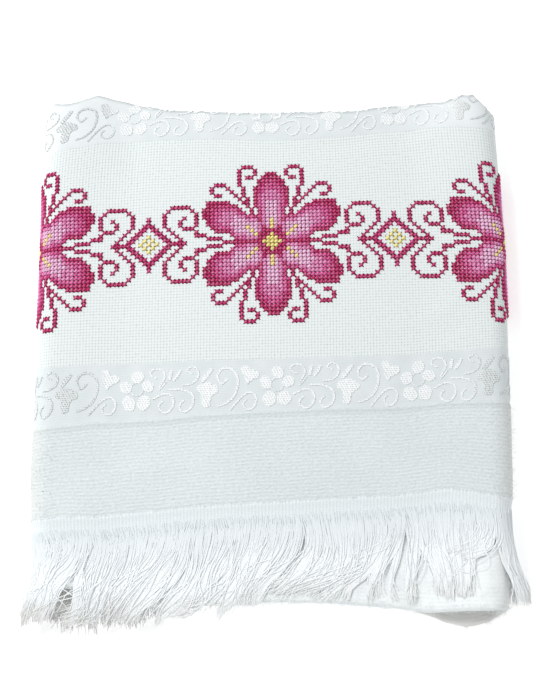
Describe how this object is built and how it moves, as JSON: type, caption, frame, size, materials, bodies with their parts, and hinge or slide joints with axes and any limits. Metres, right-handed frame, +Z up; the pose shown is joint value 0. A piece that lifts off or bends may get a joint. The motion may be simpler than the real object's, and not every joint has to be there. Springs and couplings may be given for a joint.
{
  "type": "folded hand towel",
  "caption": "Hand towel folded in thirds with both sides folded behind, woven bands on its top layer and a fringed end hanging over the lower fold.",
  "frame": {"origin": "middle of the underside of the folded towel, where it rests on a surface", "axes": "+X to the right across the folded towel, +Y from the fringed end to the top fold, +Z up"},
  "size_m": [0.2694, 0.3152, 0.0263],
  "materials": {
    "white_velour": "matt sheared cotton pile with woven bands",
    "fringe_cotton": "matt loose cotton yarn"
  },
  "bodies": {
    "root": {"towel_cloth": "white_velour", "fringe": "fringe_cotton"}
  },
  "joints": []
}
